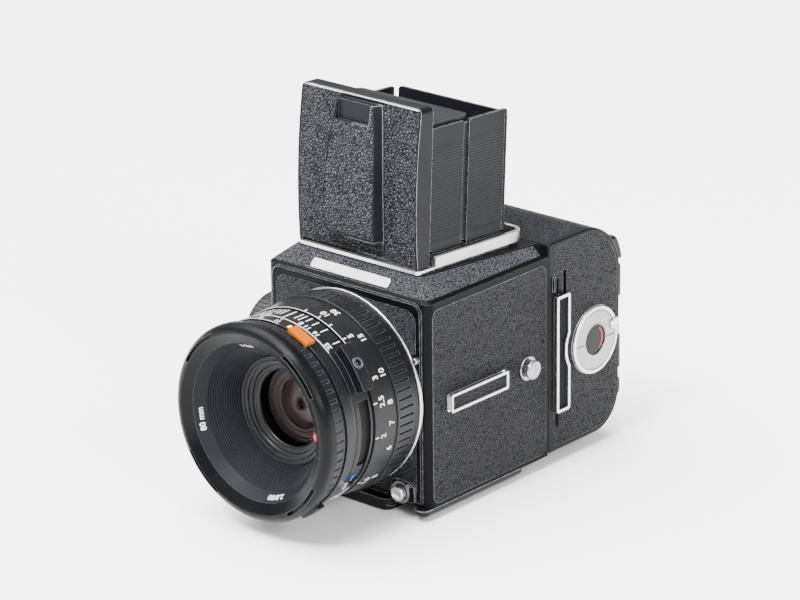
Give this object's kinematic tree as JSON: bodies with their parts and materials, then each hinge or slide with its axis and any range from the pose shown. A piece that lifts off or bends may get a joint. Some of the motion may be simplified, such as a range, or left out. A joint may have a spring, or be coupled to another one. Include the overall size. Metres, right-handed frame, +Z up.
{
  "type": "medium format film camera",
  "caption": "Single lens reflex camera for roll film: cube body, focusing lens, folding waist level hood, winding crank and detachable film magazine.",
  "frame": {"origin": "axis of the tripod socket in the face of the foot, the plane the camera stands on", "axes": "+Z up, the lens points towards -Y, +X is the camera's left hand side with the accessory rail"},
  "size_m": [0.1053, 0.1754, 0.1603],
  "materials": {
    "satin_chrome": "satin",
    "bright_chrome": "polished",
    "black_leather": "grained",
    "black_anodised": "anodised black, satin",
    "black_paint": "matte black",
    "steel": "brushed",
    "spring_steel": "blued",
    "glass": "coated",
    "ground_glass": "ground",
    "mirror": "front silvered",
    "orange": "matte",
    "spool_plastic": "moulded"
  },
  "bodies": {
    "body": {"body_shell": "satin_chrome", "front_plate": "black_paint", "front_leather": "black_leather", "side_leathers": "black_leather", "shoulder_leather": "black_leather", "base_plate": "black_anodised", "accessory_rail": "bright_chrome", "strap_lugs": "bright_chrome", "mirror_box": "black_paint", "focusing_screen": "ground_glass", "lens_mount_ring": "bright_chrome", "crank_base": "satin_chrome", "finder_base": "satin_chrome", "finder_rail": "satin_chrome", "hood_lid": "black_anodised"},
    "reflex_mirror": {"reflex_mirror": "mirror"},
    "rear_flap_upper": {"rear_flap_upper": "black_paint"},
    "rear_flap_lower": {"rear_flap_lower": "black_paint"},
    "lens": {"lens_flange": "satin_chrome"},
    "focus": {"focus_ring": "black_anodised", "focus_grip": "black_anodised"},
    "lens_head": {"lens_barrel": "black_anodised", "flash_socket": "bright_chrome", "front_bezel": "black_anodised", "baffle_cone": "black_paint", "front_glass": "glass", "shutter_case": "black_paint", "rear_glass": "glass"},
    "aperture": {"aperture_ring": "black_anodised", "coupling_tab": "orange"},
    "shutter": {"shutter_ring": "black_anodised"},
    "stop_down": {"stop_down_lever": "bright_chrome"},
    "release_button": {"release_button": "bright_chrome"},
    "release_lock": {"release_lock": "bright_chrome"},
    "lens_catch": {"lens_catch": "bright_chrome"},
    "winding_knob": {"winding_knob": "satin_chrome"},
    "crank_arm": {"crank_arm": "satin_chrome"},
    "hood_left": {"hood_left_front": "black_anodised", "hood_left_rear": "black_anodised"},
    "hood_right": {"hood_right_front": "black_anodised", "hood_right_rear": "black_anodised"},
    "hood_back": {"hood_back": "black_anodised"},
    "magnifier": {"magnifier_arm": "black_anodised", "magnifier_lens": "glass"},
    "magazine": {"magazine_shell": "satin_chrome", "slide_pocket": "black_anodised"},
    "magazine_latch": {"magazine_latch": "satin_chrome"},
    "dark_slide": {"dark_slide": "steel"},
    "film_insert": {"insert_plate": "satin_chrome", "insert_frame": "black_paint"},
    "supply_spool": {"supply_spool": "spool_plastic"},
    "take_up_spool": {"take_up_spool": "spool_plastic"},
    "key_disc": {"key_disc": "satin_chrome"},
    "key_tab": {"key_tab": "satin_chrome"},
    "magazine_crank": {"magazine_crank": "satin_chrome"},
    "iris_1": {"iris_blade_1": "spring_steel"},
    "iris_2": {"iris_blade_2": "spring_steel"},
    "iris_3": {"iris_blade_3": "spring_steel"},
    "iris_4": {"iris_blade_4": "spring_steel"},
    "iris_5": {"iris_blade_5": "spring_steel"}
  },
  "joints": [
    {"name": "mirror_swing", "type": "hinge", "parent": "body", "child": "reflex_mirror", "pos_m": [0, 0.0339, 0.0816], "axis": [-1, 0, 0], "range_deg": [0, 45], "stiffness_Nm_per_rad": 0.02, "springref_deg": -34.38},
    {"name": "rear_flap_upper_swing", "type": "hinge", "parent": "body", "child": "rear_flap_upper", "pos_m": [0, 0.0369, 0.0772], "axis": [-1, 0, 0], "range_deg": [0, 90]},
    {"name": "rear_flap_lower_swing", "type": "hinge", "parent": "body", "child": "rear_flap_lower", "pos_m": [0, 0.0369, 0.0168], "axis": [1, 0, 0], "range_deg": [0, 90]},
    {"name": "lens_bayonet", "type": "hinge", "parent": "body", "child": "lens", "pos_m": [0, -0.03235, 0.047], "axis": [0, -1, 0], "range_deg": [0, 60]},
    {"name": "focus_turn", "type": "hinge", "parent": "lens", "child": "focus", "pos_m": [0, -0.03565, 0.047], "axis": [0, -1, 0], "range_deg": [0, 226]},
    {"name": "focus_shift", "type": "slide", "parent": "lens", "child": "lens_head", "axis": [0, -1, 0], "range_m": [0, 0.0085]},
    {"name": "aperture_turn", "type": "hinge", "parent": "lens_head", "child": "aperture", "pos_m": [0, -0.06695, 0.047], "axis": [0, -1, 0], "range_deg": [0, 75]},
    {"name": "iris_1_turn", "type": "hinge", "parent": "lens_head", "child": "iris_1", "pos_m": [0.0256, -0.05735, 0.047], "axis": [0, -1, 0], "range_deg": [0, 28]},
    {"name": "iris_2_turn", "type": "hinge", "parent": "lens_head", "child": "iris_2", "pos_m": [0.00791, -0.05735, 0.07135], "axis": [0, -1, 0], "range_deg": [0, 28]},
    {"name": "iris_3_turn", "type": "hinge", "parent": "lens_head", "child": "iris_3", "pos_m": [-0.02071, -0.05735, 0.06205], "axis": [0, -1, 0], "range_deg": [0, 28]},
    {"name": "iris_4_turn", "type": "hinge", "parent": "lens_head", "child": "iris_4", "pos_m": [-0.02071, -0.05735, 0.03195], "axis": [0, -1, 0], "range_deg": [0, 28]},
    {"name": "iris_5_turn", "type": "hinge", "parent": "lens_head", "child": "iris_5", "pos_m": [0.00791, -0.05735, 0.02265], "axis": [0, -1, 0], "range_deg": [0, 28]},
    {"name": "shutter_turn", "type": "hinge", "parent": "lens_head", "child": "shutter", "pos_m": [0, -0.07305, 0.047], "axis": [0, -1, 0], "range_deg": [0, 110]},
    {"name": "stop_down_turn", "type": "hinge", "parent": "lens_head", "child": "stop_down", "pos_m": [0, -0.05735, 0.047], "axis": [0, -1, 0], "range_deg": [0, 12]},
    {"name": "release_press", "type": "slide", "parent": "body", "child": "release_button", "axis": [0, 1, 0], "range_m": [0, 0.0026], "stiffness_N_per_m": 250, "springref_m": -0.002},
    {"name": "release_lock_turn", "type": "hinge", "parent": "body", "child": "release_lock", "pos_m": [0.0285, -0.031, 0.0103], "axis": [0, -1, 0], "range_deg": [0, 45]},
    {"name": "lens_catch_press", "type": "slide", "parent": "body", "child": "lens_catch", "axis": [0, 1, 0], "range_m": [0, 0.0012], "stiffness_N_per_m": 250, "springref_m": -0.002},
    {"name": "winding_turn", "type": "hinge", "parent": "body", "child": "winding_knob", "pos_m": [-0.041, -0.011, 0.05], "axis": [1, 0, 0], "continuous": true},
    {"name": "crank_arm_fold", "type": "hinge", "parent": "winding_knob", "child": "crank_arm", "pos_m": [-0.059, -0.02182, 0.04297], "axis": [0, -0.5446, 0.8387], "range_deg": [0, 180]},
    {"name": "hood_left_fold", "type": "hinge", "parent": "body", "child": "hood_left", "pos_m": [0.02855, 0.00024, 0.09999], "axis": [0, -0.9986, 0.0523], "range_deg": [0, 90], "stiffness_Nm_per_rad": 0.004, "springref_deg": -34.38},
    {"name": "hood_right_fold", "type": "hinge", "parent": "body", "child": "hood_right", "pos_m": [-0.02855, 0.00013, 0.09779], "axis": [0, 0.9986, -0.0523], "range_deg": [0, 90], "stiffness_Nm_per_rad": 0.004, "springref_deg": -34.38},
    {"name": "hood_back_fold", "type": "hinge", "parent": "body", "child": "hood_back", "pos_m": [0, 0.03013, 0.10093], "axis": [1, 0, 0], "range_deg": [0, 88], "stiffness_Nm_per_rad": 0.004, "springref_deg": -34.38},
    {"name": "magnifier_fold", "type": "hinge", "parent": "body", "child": "magnifier", "pos_m": [0, -0.01697, 0.15191], "axis": [-1, 0, 0], "range_deg": [0, 90], "stiffness_Nm_per_rad": 0.004, "springref_deg": -34.38},
    {"name": "magazine_tilt", "type": "hinge", "parent": "body", "child": "magazine", "pos_m": [0, 0.0433, 0.007], "axis": [-1, 0, 0], "range_deg": [0, 25]},
    {"name": "magazine_latch_slide", "type": "slide", "parent": "magazine", "child": "magazine_latch", "axis": [-1, 0, 0], "range_m": [0, 0.004], "stiffness_N_per_m": 150, "springref_m": -0.002},
    {"name": "dark_slide_pull", "type": "slide", "parent": "magazine", "child": "dark_slide", "axis": [1, 0, 0], "range_m": [0, 0.072]},
    {"name": "film_insert_pull", "type": "slide", "parent": "magazine", "child": "film_insert", "axis": [1, 0, 0], "range_m": [0, 0.07]},
    {"name": "supply_spool_turn", "type": "hinge", "parent": "film_insert", "child": "supply_spool", "pos_m": [0, 0.0713, 0.0235], "axis": [-1, 0, 0], "continuous": true},
    {"name": "take_up_spool_turn", "type": "hinge", "parent": "film_insert", "child": "take_up_spool", "pos_m": [0, 0.0693, 0.0735], "axis": [-1, 0, 0], "continuous": true},
    {"name": "key_turn", "type": "hinge", "parent": "film_insert", "child": "key_disc", "pos_m": [0.041, 0.0703, 0.0458], "axis": [1, 0, 0], "range_deg": [0, 90]},
    {"name": "key_tab_fold", "type": "hinge", "parent": "key_disc", "child": "key_tab", "pos_m": [0.04165, 0.0703, 0.0458], "axis": [0, 1, 0], "range_deg": [0, 90]},
    {"name": "magazine_crank_turn", "type": "hinge", "parent": "magazine", "child": "magazine_crank", "pos_m": [-0.041, 0.0693, 0.0735], "axis": [1, 0, 0], "continuous": true}
  ],
  "couplings": [
    {"joint": "rear_flap_upper_swing", "follows": "mirror_swing", "ratio": 2},
    {"joint": "rear_flap_lower_swing", "follows": "mirror_swing", "ratio": 2},
    {"joint": "focus_shift", "follows": "focus_turn", "m_per_rad": 0.0021549},
    {"joint": "take_up_spool_turn", "follows": "winding_turn", "ratio": 1.1},
    {"joint": "supply_spool_turn", "follows": "winding_turn", "ratio": 0.75},
    {"joint": "iris_1_turn", "follows": "aperture_turn", "ratio": 0.37333},
    {"joint": "iris_2_turn", "follows": "aperture_turn", "ratio": 0.37333},
    {"joint": "iris_3_turn", "follows": "aperture_turn", "ratio": 0.37333},
    {"joint": "iris_4_turn", "follows": "aperture_turn", "ratio": 0.37333},
    {"joint": "iris_5_turn", "follows": "aperture_turn", "ratio": 0.37333}
  ]
}
